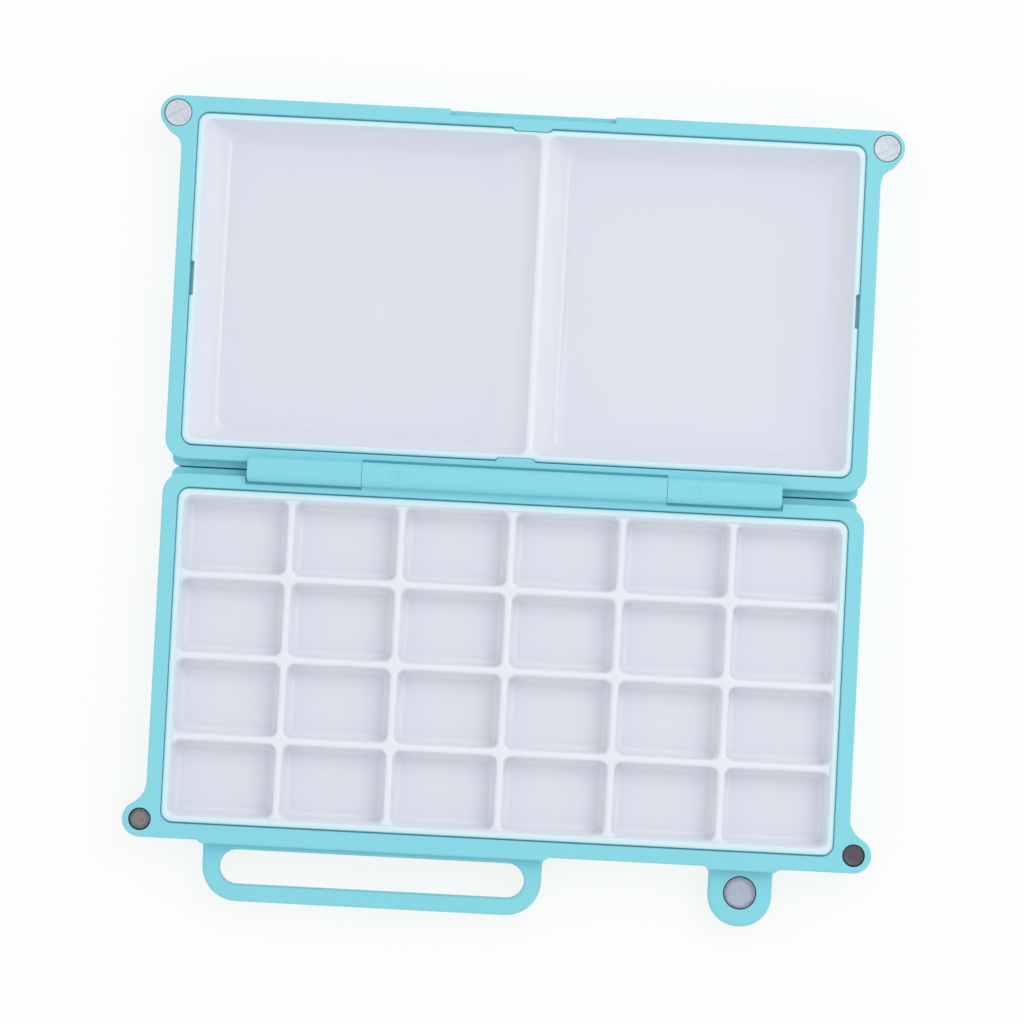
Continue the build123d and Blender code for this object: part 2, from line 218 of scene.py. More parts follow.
paper = bpy.data.materials.new("white_paper")
paper.use_nodes = True
tree = paper.node_tree
tree.nodes.clear()
sheet = add(tree, "ShaderNodeBsdfDiffuse", inputs={"Color": PAPER_WHITE})
glow = add(tree, "ShaderNodeEmission")
clear = add(tree, "ShaderNodeBsdfTransparent")
side = add(tree, "ShaderNodeNewGeometry")
lit = add(tree, "ShaderNodeMixShader")
choose = add(tree, "ShaderNodeMixShader")
out = add(tree, "ShaderNodeOutputMaterial")
link_all(
    tree,
    (times(tree, seen_directly(tree), PAPER_GLOW), lit.inputs["Fac"]),
    (sheet.outputs["BSDF"], lit.inputs[1]),
    (glow.outputs["Emission"], lit.inputs[2]),
    (side.outputs["Backfacing"], choose.inputs["Fac"]),
    (lit.outputs["Shader"], choose.inputs[1]),
    (clear.outputs["BSDF"], choose.inputs[2]),
    (choose.outputs["Shader"], out.inputs["Surface"]),
)
floor.data.materials.append(paper)
print("floor:", paper.name)

# %% [markdown]
# ## Shared surface effects
# Both plastics and both metals show the same kinds of detail at different strengths, so each effect
# is a node group that is built once. Coordinates are taken in the object's own space, in
# millimetres, so that the pattern is at its real scale and travels with the piece when the lid
# turns.

# %% Effects as node groups
def effect(name, inputs, outputs=("Mask",)):
    """A new shader node group, with a Position vector and then float sockets."""
    group = bpy.data.node_groups.new(name, "ShaderNodeTree")
    new = group.interface.new_socket
    new(name="Position", in_out="INPUT", socket_type="NodeSocketVector")
    for label, default in inputs.items():
        new(name=label, in_out="INPUT", socket_type="NodeSocketFloat").default_value = default
    for label in outputs:
        new(name=label, in_out="OUTPUT", socket_type="NodeSocketFloat")
    entry, result = group.nodes.new("NodeGroupInput"), group.nodes.new("NodeGroupOutput")
    print("effect:", group.name)
    return group, entry.outputs, result.inputs


def parts_of(tree, vector):
    """The X, Y and Z of a vector socket."""
    node = add(tree, "ShaderNodeSeparateXYZ")
    tree.links.new(vector, node.inputs["Vector"])
    return node.outputs


# %% [markdown]
# Moulded plastic is never quite even. The mould leaves a fine spark-eroded grain, and the melt
# leaves soft clouds of tone. Two noises of very different scale give both: one becomes height for
# the bump, the other tints the colour.

# %% Grain
grain, grain_in, grain_out = effect(
    "moulded_grain", {"Grain Scale": 6.0, "Cloud Scale": 0.05}, ["Height", "Tone"]
)
fine = add(grain, "ShaderNodeTexNoise", inputs={"Detail": 3.0, "Roughness": 0.6})
cloud = add(grain, "ShaderNodeTexNoise", inputs={"Detail": 2.0, "Roughness": 0.5})
for noise, scale, result in ((fine, "Grain Scale", "Height"), (cloud, "Cloud Scale", "Tone")):
    link_all(
        grain,
        (grain_in["Position"], noise.inputs["Vector"]),
        (grain_in[scale], noise.inputs["Scale"]),
        (noise.outputs["Fac"], grain_out[result]),
    )

# %% [markdown]
# Handling polishes an edge before anything else. A Bevel node gives the normal that a rounded edge
# would have, and where that differs from the true normal there is an edge. It needs no painted mask
# and works on any mesh. On the white trays its lighter tint is also a painted highlight along the
# rounded ribs and the crisp feet.

# %% Edge mask
EDGE_GAIN = 6.0

edges, edges_in, edges_out = effect("edge_wear_and_highlight", {"Width": 0.0003}, ["Edge"])
soft_normal = add(edges, "ShaderNodeBevel", samples=4)
true_normal = add(edges, "ShaderNodeNewGeometry")
agree = add(edges, "ShaderNodeVectorMath", operation="DOT_PRODUCT")
patches = add(edges, "ShaderNodeTexNoise", inputs={"Scale": 0.9, "Detail": 4.0})
link_all(
    edges,
    (edges_in["Width"], soft_normal.inputs["Radius"]),
    (soft_normal.outputs["Normal"], agree.inputs[0]),
    (true_normal.outputs["Normal"], agree.inputs[1]),
    (edges_in["Position"], patches.inputs["Vector"]),
)
bend = minus(edges, 1.0, agree.outputs["Value"])
patchy = times(edges, patches.outputs["Fac"], EDGE_GAIN)
edges.links.new(times(edges, bend, patchy, clamp=True), edges_out["Edge"])

# %% [markdown]
# Hairline scuffs are what a glossy surface collects first. Noise that is stretched about forty
# times along one direction, and cut off near its top, leaves short thin lines. Two such layers at
# different angles cross each other.

# %% Scuffs
SCUFF_STRETCH = 40.0
SCUFF_ANGLES = (0.5, 2.1)
SCUFF_LIMIT = 0.8
DENSITY_SHARE = 0.3
SCUFF_GAIN = 30.0

scuffs, scuffs_in, scuffs_out = effect("hairline_scuffs", {"Scale": 4.0, "Density": 0.3})
limit = minus(scuffs, SCUFF_LIMIT, times(scuffs, scuffs_in["Density"], DENSITY_SHARE))
layers = []
for angle in SCUFF_ANGLES:
    turn = add(scuffs, "ShaderNodeMapping", vector_type="TEXTURE")
    fill(turn, {"Rotation": (0, 0, angle), "Scale": (SCUFF_STRETCH, 1, SCUFF_STRETCH)})
    lines = add(scuffs, "ShaderNodeTexNoise", inputs={"Detail": 1.0})
    link_all(
        scuffs,
        (scuffs_in["Position"], turn.inputs["Vector"]),
        (turn.outputs["Vector"], lines.inputs["Vector"]),
        (scuffs_in["Scale"], lines.inputs["Scale"]),
    )
    over = minus(scuffs, lines.outputs["Fac"], limit)
    layers.append(times(scuffs, over, SCUFF_GAIN, clamp=True))
scuffs.links.new(maths(scuffs, "MAXIMUM", *layers), scuffs_out["Mask"])

# %% [markdown]
# A few specks of dust keep a flat face from looking computed. Each cell of a Voronoi texture holds
# one point, and only a few cells are allowed to show theirs.

# %% Specks
SPECK_SIZE = 0.06

specks, specks_in, specks_out = effect("dust_specks", {"Scale": 0.4, "Amount": 0.1})
cells = add(specks, "ShaderNodeTexVoronoi", inputs={"Randomness": 1.0})
chosen = add(specks, "ShaderNodeSeparateColor")
link_all(
    specks,
    (specks_in["Position"], cells.inputs["Vector"]),
    (specks_in["Scale"], cells.inputs["Scale"]),
    (cells.outputs["Color"], chosen.inputs["Color"]),
)
few = maths(specks, "LESS_THAN", chosen.outputs[0], specks_in["Amount"])
size = times(specks, chosen.outputs[1], SPECK_SIZE)
dot = maths(specks, "LESS_THAN", cells.outputs["Distance"], size)
specks.links.new(times(specks, few, dot), specks_out["Mask"])

# %% [markdown]
# The white plastic lets a little light through, so the turquoise of the case glows into the edge of
# each tray. True scattering could carry that colour, but it would need far more samples. A mask of
# the distance to the tray's outer edge gives the same soft band. The edge is a rectangle about a
# centre, so two differences and a maximum measure it.

# %% Case glow
GLOW_POWER = 2.0

bleed, bleed_in, bleed_out = effect(
    "case_glow", {"Half Width": 62.0, "Half Depth": 31.0, "Centre": 0.0, "Reach": 3.2}
)


def apart(tree, first, second):
    """How far apart two values are."""
    return maths(tree, "ABSOLUTE", minus(tree, first, second))


def past_rectangle(tree, aside, along, group_in):
    """How far a place lies outside the rectangle of a group's Half Width and Half Depth."""
    past_side = minus(tree, aside, group_in["Half Width"])
    past_end = minus(tree, along, group_in["Half Depth"])
    return maths(tree, "MAXIMUM", past_side, past_end)


place = parts_of(bleed, bleed_in["Position"])
off_middle = apart(bleed, place["Y"], bleed_in["Centre"])
beyond = past_rectangle(bleed, maths(bleed, "ABSOLUTE", place["X"]), off_middle, bleed_in)
near = maths(bleed, "ADD", 1.0, maths(bleed, "DIVIDE", beyond, bleed_in["Reach"]), clamp=True)
bleed.links.new(maths(bleed, "POWER", near, GLOW_POWER), bleed_out["Mask"])

# %% [markdown]
# Light also enters a thin wall from both sides and leaves at its top, so the walls and ribs of the
# real trays look a little lighter than their floors. Height above the floor is a good enough
# measure of that. A small Power lets the wall turn light close to its foot, and a larger one lets a
# wall that curves into the floor do so without an edge. Top Fall takes the light away again towards
# the rounded top, which is bright enough in itself.

# %% Thin walls
thin, thin_in, thin_out = effect(
    "thin_wall_light", {"Floor": 3.0, "Top": 9.75, "Power": 0.3, "Top Fall": 0.0}
)
place = parts_of(thin, thin_in["Position"])
rise = minus(thin, place["Z"], thin_in["Floor"])
whole_rise = minus(thin, thin_in["Top"], thin_in["Floor"])
climbed = maths(thin, "DIVIDE", rise, whole_rise, clamp=True)
risen = maths(thin, "POWER", climbed, thin_in["Power"])
kept = minus(thin, 1.0, times(thin, climbed, thin_in["Top Fall"]))
thin.links.new(times(thin, risen, kept), thin_out["Mask"])

# %% [markdown]
# The straight slopes of the mixing wells end in a crisp foot. The slope and the floor throw light
# on each other there, so the foot shows as a thin line that is brighter than both. Only the sides
# that face +X are such slopes, so the normal picks them out, and the height above the floor fades
# the line.

# %% Foot line
SLOPE_FACING = 0.5

foot, foot_in, foot_out = effect("foot_line", {"Floor": 3.0, "Height": 1.1})
facing = parts_of(foot, add(foot, "ShaderNodeTexCoord").outputs["Normal"])
place = parts_of(foot, foot_in["Position"])
on_slope = maths(foot, "GREATER_THAN", facing["X"], SLOPE_FACING)
above = minus(foot, place["Z"], foot_in["Floor"])
climbed = maths(foot, "DIVIDE", above, foot_in["Height"])
fade = minus(foot, 1.0, climbed, clamp=True)
foot.links.new(times(foot, on_slope, fade), foot_out["Mask"])

# %% [markdown]
# The turquoise plastic is not quite opaque either. In the narrow gaps round the trays and beside
# the hinge knuckles the real walls show a soft teal and not black, because light soaks through
# them. Scattering could carry it, at a high price in samples, so a faint glow of the gap's own
# walls stands for it. Both halves mirror each other about the hinge axis, so the distance from it
# serves both. The first kind of gap is the wall of a tray's opening, in a band below the case's
# rim.

# %% Gap light round the trays
WALL_BAND = (-0.7, 0.1)
WALL_HEIGHTS = (-8.0, -0.4)

gaps, gaps_in, gaps_out = effect(
    "gap_light",
    {
        "Half Width": 62.2, "Half Depth": 31.1, "Centre": 34.9,
        "Hinge Y": 30.0, "Hinge Z": 10.0, "Hinge Reach": 49.8, "Hollow": 2.85,
    },
)


def all_of(tree, *masks):
    """1 where every mask is 1."""
    product = masks[0]
    for mask in masks[1:]:
        product = times(tree, product, mask)
    return product


def between(tree, value, low, high):
    """1 where a value lies between two numbers."""
    over = maths(tree, "GREATER_THAN", value, low)
    return times(tree, over, maths(tree, "LESS_THAN", value, high))


place = parts_of(gaps, gaps_in["Position"])
sideways = maths(gaps, "ABSOLUTE", place["X"])
from_axis = apart(gaps, place["Y"], gaps_in["Hinge Y"])
over_axis = minus(gaps, place["Z"], gaps_in["Hinge Z"])
to_centre = apart(gaps, from_axis, gaps_in["Centre"])
past_wall = past_rectangle(gaps, sideways, to_centre, gaps_in)
on_wall = all_of(
    gaps, between(gaps, past_wall, *WALL_BAND), between(gaps, over_axis, *WALL_HEIGHTS)
)
print("walls glow at", WALL_HEIGHTS, "mm from the axis")

# %% [markdown]
# The second kind is the round hollow in which a knuckle of the other half turns. A ring about the
# hinge axis would also take in the knuckles' own faces, which show from behind when the lid is
# shut. So the mask keeps to the hollow's own surface, between two heights, well off the axis and
# short of the hollow's ends.

# %% Gap light in the hinge
HOLLOW_BAND = (-0.05, 0.05)
HOLLOW_HEIGHTS = (-2.3, -0.2)
HOLLOW_ASIDE = 1.9
HOLLOW_SHARE, WALL_SHARE = 0.55, 0.42

squares = maths(
    gaps, "ADD", maths(gaps, "POWER", from_axis, 2.0), times(gaps, over_axis, over_axis)
)
past_hollow = minus(gaps, maths(gaps, "SQRT", squares), gaps_in["Hollow"])
on_hollow = all_of(
    gaps,
    between(gaps, past_hollow, *HOLLOW_BAND),
    between(gaps, over_axis, *HOLLOW_HEIGHTS),
    maths(gaps, "GREATER_THAN", from_axis, HOLLOW_ASIDE),
    maths(gaps, "LESS_THAN", sideways, gaps_in["Hinge Reach"]),
)
either_gap = maths(
    gaps, "MAXIMUM", times(gaps, on_hollow, HOLLOW_SHARE), times(gaps, on_wall, WALL_SHARE)
)
gaps.links.new(either_gap, gaps_out["Mask"])

# %% [markdown]
# ## Plastics
# One function makes both plastics, because they differ only in colour, gloss and grain. The
# turquoise is satin: its mould was spark-eroded. The tray white is polished, slightly blue, and
# takes hairline scuffs. The effects feed the colour, the roughness and the bump; gloss itself comes
# from the Principled shader.

# %% Material helpers
def start_material(name):
    """A material with an empty Principled shader and a position vector in millimetres."""
    material = bpy.data.materials.new(name)
    material.use_nodes = True
    tree = material.node_tree
    shader = tree.nodes["Principled BSDF"]
    place = add(tree, "ShaderNodeTexCoord")
    scale = add(tree, "ShaderNodeVectorMath", operation="SCALE", inputs={"Scale": 1 / MM})
    tree.links.new(place.outputs["Object"], scale.inputs[0])
    return material, tree, shader, scale.outputs["Vector"]


def use(tree, group, position, values):
    """The results of one copy of an effect, placed in a material with its own values."""
    node = add(tree, "ShaderNodeGroup", node_tree=group, inputs=values)
    tree.links.new(position, node.inputs["Position"])
    return node.outputs


def blend_colours(tree, share, first, second):
    """Mixes two colours, each a socket or an (r, g, b, a)."""
    node = add(tree, "ShaderNodeMix", data_type="RGBA")
    tree.links.new(share, node.inputs["Factor"])
    for socket, value in ((node.inputs[6], first), (node.inputs[7], second)):
        if isinstance(value, bpy.types.NodeSocket):
            tree.links.new(value, socket)
        else:
            socket.default_value = value
    return node.outputs[2]


# %% [markdown]
# The colour is built up in layers, from the melt outward: clouds of tone, light inside the walls,
# worn edges that on the trays also carry a painted highlight, scuffs and dust. The case's glow
# comes last, because it lies over all of them.

# %% Layers of colour
FOOT_COLOUR = (0.93, 0.955, 1.0, 1)
GLOW_COLOUR = (0.62, 0.86, 0.93, 1)


def layer(tree, position, colour, group, values, tint):
    """Lays an effect's tint over a colour, if the plastic has that effect."""
    if not values:
        return colour
    return blend_colours(tree, use(tree, group, position, values)["Mask"], colour, tint)


def layered_colour(tree, position, masks, colours, finish, extras):
    colour = blend_colours(tree, masks["tone"], colours["dark"], colours["light"])
    colour = layer(tree, position, colour, thin, extras.get("walls"), colours.get("wall"))
    colour = layer(tree, position, colour, foot, extras.get("feet"), FOOT_COLOUR)
    for mask, tint in (("edge", "wear_and_highlight"), ("scuff", "wear_and_highlight"), ("speck", "dust")):
        share = times(tree, masks[mask], finish[mask + "_tint"])
        colour = blend_colours(tree, share, colour, colours[tint])
    return layer(tree, position, colour, bleed, extras.get("case_glow"), GLOW_COLOUR)


# %% [markdown]
# Grain and scuffs roughen a surface and handling polishes its edges, so the same masks drive the
# gloss. The grain stands up and a scuff is cut in, which gives the height for the bump.

# %% Gloss and relief
def roughness_of(tree, grain_height, masks, finish):
    least = finish["roughness"] - finish["grain_rough"] / 2
    rough = maths(tree, "MULTIPLY_ADD", grain_height, finish["grain_rough"], least)
    scuffed = times(tree, masks["scuff"], finish["scuff_rough"])
    polished = times(tree, masks["edge"], finish["edge_polish"])
    return minus(tree, maths(tree, "ADD", rough, scuffed), polished)


def relief(tree, shader, raised, cut, depth):
    """A bump that rises with one mask and sinks with the other."""
    bump = add(tree, "ShaderNodeBump", inputs={"Strength": 1.0, "Distance": depth})
    tree.links.new(minus(tree, raised, cut), bump.inputs["Height"])
    tree.links.new(bump.outputs["Normal"], shader.inputs["Normal"])


# %% Plastic
PLASTIC_IOR = 1.5
GAP_COLOUR = (0.09, 0.225, 0.22, 1)


def plastic(name, colours, finish, extras):
    """finish holds the numbers that make one plastic satin and the other glossy."""
    material, tree, shader, position = start_material(name)
    grained = use(tree, grain, position, finish["grain"])
    masks = {
        "tone": grained["Tone"],
        "edge": use(tree, edges, position, finish["edges"])["Edge"],
        "scuff": use(tree, scuffs, position, finish["scuffs"])["Mask"],
        "speck": use(tree, specks, position, finish["specks"])["Mask"],
    }
    colour = layered_colour(tree, position, masks, colours, finish, extras)
    tree.links.new(colour, shader.inputs["Base Color"])
    if "gap_light" in extras:
        in_gap = use(tree, gaps, position, extras["gap_light"])["Mask"]
        gap_glow = blend_colours(tree, in_gap, (0, 0, 0, 1), GAP_COLOUR)
        tree.links.new(gap_glow, shader.inputs["Emission Color"])
        fill(shader, {"Emission Strength": 1.0})
    rough = roughness_of(tree, grained["Height"], masks, finish)
    tree.links.new(rough, shader.inputs["Roughness"])
    relief(tree, shader, grained["Height"], masks["scuff"], finish["relief"])
    fill(shader, finish["shader"] | {"IOR": PLASTIC_IOR, "Subsurface Radius": (1, 1, 1)})
    print(name, "has", len(tree.nodes), "nodes")
    return material


# %% [markdown]
# The case is opaque enough to need no scattering. Its gap light is placed by the well tray, the
# hinge pin and the play between tray and case, so that it follows the CAD model.

# %% Case plastic
CASE_FINISH = {
    "grain": {"Grain Scale": 5.0, "Cloud Scale": 0.06}, "edges": {"Width": 0.35 * MM},
    "scuffs": {"Scale": 3.0, "Density": 0.25}, "specks": {"Scale": 0.35, "Amount": 0.12},
    "edge_tint": 0.35, "scuff_tint": 0.05, "speck_tint": 0.2, "relief": 0.008 * MM,
    "roughness": 0.42, "grain_rough": 0.12, "scuff_rough": 0.08, "edge_polish": 0.08,
    "shader": {
        "Coat Weight": 0.0, "Coat Roughness": 0.2,
        "Subsurface Weight": 0.0, "Subsurface Scale": 1.0 * MM,
    },
}
CASE_COLOURS = {
    "light": (0.245, 0.690, 0.785, 1), "dark": (0.215, 0.655, 0.770, 1),
    "wear_and_highlight": (0.36, 0.78, 0.84, 1), "dust": (0.55, 0.80, 0.84, 1),
}
SIDE_GAP, LONG_GAP = 0.12, 0.25
HOLLOW_PAST_PIN = 0.8


def outline_of(node, side_gap=0.0, long_gap=0.0):
    """Half sizes of a node in millimetres, with a gap round it."""
    low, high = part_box(node)
    return {
        "Half Width": (high.x - low.x) / 2 / MM + side_gap,
        "Half Depth": (high.y - low.y) / 2 / MM + long_gap,
    }


tray_low, tray_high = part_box("well_tray")
pin_low, pin_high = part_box("hinge_pin")
axis_y, axis_z = (pin_low.y + pin_high.y) / 2, (pin_low.z + pin_high.z) / 2
gap_light = outline_of("well_tray", SIDE_GAP, LONG_GAP) | {
    "Centre": (axis_y - (tray_low.y + tray_high.y) / 2) / MM,
    "Hinge Y": axis_y / MM, "Hinge Z": axis_z / MM,
    "Hinge Reach": pin_high.x / MM + HOLLOW_PAST_PIN,
}
turquoise = plastic("satin_turquoise", CASE_COLOURS, CASE_FINISH, {"gap_light": gap_light})
for case in ("base_case", "lid_case"):
    nodes[case].data.materials[0] = turquoise

# %% [markdown]
# The two trays are of one white plastic and share its finish. Walls that stand close together
# darken a small well's floor more here than in the picture, so the well tray's whites are painted
# lighter than the mixing tray's to make up for that shade, and each tray has its own wall light.

# %% Tray plastic
TRAY_FINISH = {
    "grain": {"Grain Scale": 1.2, "Cloud Scale": 0.045}, "edges": {"Width": 0.3 * MM},
    "scuffs": {"Scale": 2.5, "Density": 0.2}, "specks": {"Scale": 0.3, "Amount": 0.08},
    "edge_tint": 0.6, "scuff_tint": 0.02, "speck_tint": 0.12, "relief": 0.001 * MM,
    "roughness": 0.3, "grain_rough": 0.05, "scuff_rough": 0.12, "edge_polish": 0.05,
    "shader": {
        "Coat Weight": 0.15, "Coat Roughness": 0.12,
        "Subsurface Weight": 0.35, "Subsurface Scale": 0.8 * MM,
    },
}
# The trays' worn colour tints scuffs and edges. On the edges it is wear and also a painted
# highlight.
TRAY_WORN_AND_HIGHLIGHT, TRAY_DUST = (0.88, 0.90, 0.95, 1), (0.62, 0.65, 0.70, 1)
WELL_FLOOR, MIXING_FLOOR = 1.2, 1.4


def tray_white(node, name, colours, floor_thickness, wall_light, crisp_feet=False):
    """The white of one tray. Its glow and lighter walls follow its own outline and floor."""
    low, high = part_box(node)
    floor_z = low.z / MM + floor_thickness
    extras = {
        "walls": {"Floor": floor_z, "Top": high.z / MM} | wall_light,
        "case_glow": outline_of(node) | {"Centre": (high.y + low.y) / 2 / MM},
    }
    if crisp_feet:
        extras["feet"] = {"Floor": floor_z}
    return plastic(name, colours | {"wear_and_highlight": TRAY_WORN_AND_HIGHLIGHT, "dust": TRAY_DUST}, TRAY_FINISH, extras)


# The well tray's whites are painted lighter, against the shade that its small wells cast.
WELL_COLOURS = {
    "light": (0.786, 0.802, 0.868, 1), "dark": (0.770, 0.787, 0.858, 1),
    "wall": (0.930, 0.945, 0.990, 1),
}
MIXING_COLOURS = {
    "light": (0.745, 0.765, 0.845, 1), "dark": (0.725, 0.755, 0.835, 1),
    "wall": (0.920, 0.938, 1.0, 1),
}
well_white = tray_white(
    "well_tray", "glossy_white_wells", WELL_COLOURS, WELL_FLOOR,
    {"Power": 0.15, "Top Fall": 0.85},
)
mixing_white = tray_white(
    "mixing_tray", "glossy_white_mixing", MIXING_COLOURS, MIXING_FLOOR,
    {"Power": 0.5, "Top Fall": 0.65}, crisp_feet=True,
)

# %% [markdown]
# ## Metals
# The magnets are nickel-plated discs. A turned face keeps faint rings, which a Wave texture in ring
# mode draws about each disc's own centre. The magnets in the base sit deeper, so their colours are
# painted dark as painted shade, with a brown stain of glue at the centre. The right one is painted
# darker still.

# %% Metal
TURNED_RINGS = {"Scale": 1.6, "Distortion": 0.3, "Detail": 1.0}
METAL_RELIEF = 0.003 * MM
SCUFF_DULL = 0.2
RAGGED = 1.6
STAIN_REACH = 2.3


def metal(name, bright, dull, roughness, stain=None, rim=None, radius=1.0, centre=(0, 0, 0)):
    """Plated steel with turned rings and scuffs. Its middle may be stained, and its rim turns
    darker in a ragged band.
    """
    material, tree, shader, position = start_material(name)
    scuffed = use(tree, scuffs, position, {"Scale": 5.0, "Density": 0.6})["Mask"]
    grained = use(tree, grain, position, {"Grain Scale": 2.0, "Cloud Scale": 0.6})["Height"]
    moved = add(tree, "ShaderNodeVectorMath", operation="SUBTRACT", inputs={1: centre})
    rings = add(
        tree, "ShaderNodeTexWave", wave_type="RINGS", rings_direction="Z", inputs=TURNED_RINGS
    )
    reach = add(tree, "ShaderNodeVectorMath", operation="LENGTH")
    link_all(
        tree,
        (position, moved.inputs[0]),
        (moved.outputs["Vector"], rings.inputs["Vector"]),
        (moved.outputs["Vector"], reach.inputs[0]),
    )
    colour = blend_colours(tree, grained, dull, bright)
    ragged = maths(tree, "ADD", reach.outputs["Value"], times(tree, grained, RAGGED))
    if stain:
        inner = minus(tree, STAIN_REACH, ragged, clamp=True)
        colour = blend_colours(tree, inner, colour, stain)
    if rim:
        outer = minus(tree, ragged, radius, clamp=True)
        colour = blend_colours(tree, outer, colour, rim)
    tree.links.new(colour, shader.inputs["Base Color"])
    fill(shader, {"Metallic": 1.0})
    rough = maths(tree, "MULTIPLY_ADD", scuffed, SCUFF_DULL, roughness)
    tree.links.new(rough, shader.inputs["Roughness"])
    relief(tree, shader, rings.outputs["Fac"], scuffed, METAL_RELIEF)
    return material


steel = metal("pin_steel_finish", (0.62, 0.62, 0.63, 1), (0.5, 0.5, 0.52, 1), 0.3)
nodes["hinge_pin"].data.materials[0] = steel
print("pin:", steel.name)

# %% [markdown]
# ## Rings of points
# Every well is a rounded rectangle that shrinks as it goes down. So a tray can be drawn as rings of
# points, each ring the same number of points, joined by bands of four-sided faces. That keeps the
# mesh tidy where a boolean cut would leave slivers, and each rounded edge is only a few more rings
# along an arc. A ring runs anticlockwise. Its four corners are quarter turns, or square where ribs
# cross.

# %% Ring helpers
TURN_STEPS = 8
AXES = ((1, 0), (0, 1), (-1, 0), (0, -1))
CORNER_SIDES = ((0, 1), (2, 1), (2, 3), (0, 3))


def quarter(centre, quadrant, reach, square):
    """The points of one corner. reach is how far it goes towards x and towards y."""
    first, second = AXES[quadrant], AXES[(quadrant + 1) % 4]
    a, b = reach[quadrant % 2], reach[(quadrant + 1) % 2]
    half = TURN_STEPS // 2
    points = []
    for step in range(TURN_STEPS + 1):
        turned = math.pi / 2 * step / TURN_STEPS
        u, v = math.cos(turned), math.sin(turned)
        if square:
            u, v = min(1, (TURN_STEPS - step) / half), min(1, step / half)
        points.append((
            centre[0] + first[0] * a * u + second[0] * b * v,
            centre[1] + first[1] * a * u + second[1] * b * v,
        ))
    return points


def ring(box, radius, steps, margin=(0, 0, 0, 0), square=(False,) * 4):
    """A closed ring about box = (x0, x1, y0, y1). steps cut its long sides along x and along y.
    margin widens it to the right, top, left and bottom."""
    x0, x1, y0, y1 = box
    centres = (
        (x1 - radius, y1 - radius), (x0 + radius, y1 - radius),
        (x0 + radius, y0 + radius), (x1 - radius, y0 + radius),
    )
    corners = []
    for q, (across, along) in enumerate(CORNER_SIDES):
        reach = radius + margin[across], radius + margin[along]
        corners.append(quarter(centres[q], q, reach, square[q]))
    points = []
    for q in range(4):
        points += corners[q]
        (ax, ay), (bx, by) = corners[q][-1], corners[(q + 1) % 4][0]
        count = steps[q % 2]
        for step in range(1, count):
            share = step / count
            points.append((ax + (bx - ax) * share, ay + (by - ay) * share))
    return points


def add_ring(bm, points, z):
    return [bm.verts.new((x, y, z)) for x, y in points]


def band(bm, outer, inner):
    """Faces between two rings of the same number of points."""
    count = len(outer)
    for i in range(count):
        j = (i + 1) % count
        bm.faces.new((outer[i], outer[j], inner[j], inner[i]))


def quarter_turn(steps):
    """(cosine, sine) pairs from 0 to 90 degrees."""
    angles = [math.pi / 2 * k / steps for k in range(steps + 1)]
    return [(math.cos(angle), math.sin(angle)) for angle in angles]


def round_point(centre, radius, angle):
    """A point of a circle."""
    return centre[0] + radius * math.cos(angle), centre[1] + radius * math.sin(angle)


print("points in a ring:", len(ring((0, 10, 0, 8), 1, (5, 4))))

# %% Finish a mesh as a piece
WELD = 0.002
SHARP_ANGLE = math.radians(50)


def millimetres(node):
    """Lowest and highest corner of a CAD node, in millimetres."""
    low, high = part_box(node)
    return low / MM, high / MM


def finish_piece(bm, name, node, material):
    """Welds the rings, turns the faces outward and lets the piece stand for its CAD node."""
    bmesh.ops.remove_doubles(bm, verts=bm.verts, dist=WELD)
    bmesh.ops.recalc_face_normals(bm, faces=bm.faces)
    bmesh.ops.scale(bm, vec=(MM, MM, MM), verts=bm.verts)
    mesh = bpy.data.meshes.new(name)
    bm.to_mesh(mesh)
    bm.free()
    mesh.shade_smooth()
    mesh.set_sharp_from_angle(angle=SHARP_ANGLE)
    mesh.materials.append(material)
    piece = bpy.data.objects.new(name, mesh)
    scene.collection.objects.link(piece)
    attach(piece, nodes[node]["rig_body"])
    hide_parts(node)
    print(name, "stands for", node, "with", len(mesh.polygons), "faces")


# %% [markdown]
# ## The rim of a tray
# Once the wells are drawn, their outer boundary is an open edge. The rim is grown from it: loop
# after loop, each a little further out or down, over the rounded top, down the outer wall and round
# the foot. The lid's tray has shallow notches in its rim. There the loops are squeezed inward, so
# the notch needs no cutting tool.

# %% Rim loops
INNER_ROUND, OUTER_ROUND = 0.3, 0.5
RIM_STEPS = 4
TRAY_CORNER = 2.05
TRAY_FOOT_ROUND = 0.8


def walk_boundary(bm):
    """The open edge of the mesh as one list of vertices, in order."""
    first = next(e for e in bm.edges if e.is_boundary)
    loop, used = [first.verts[0], first.verts[1]], {first}
    while True:
        step = next(e for e in loop[-1].link_edges if e.is_boundary and e not in used)
        used.add(step)
        after = step.other_vert(loop[-1])
        if after is loop[0]:
            return loop
        loop.append(after)


def split_side(bm, half, axis, places):
    """Adds points to the open edge at those places along its two sides that run along axis."""
    across = 1 - axis
    for place in places:
        for edge in [e for e in bm.edges if e.is_boundary]:
            a, b = (v.co for v in edge.verts)
            on_side = all(abs(abs(end[across]) - half[across]) < WELD for end in (a, b))
            if on_side and min(a[axis], b[axis]) + WELD < place < max(a[axis], b[axis]) - WELD:
                share = (place - a[axis]) / (b[axis] - a[axis])
                bmesh.utils.edge_split(edge, edge.verts[0], share)


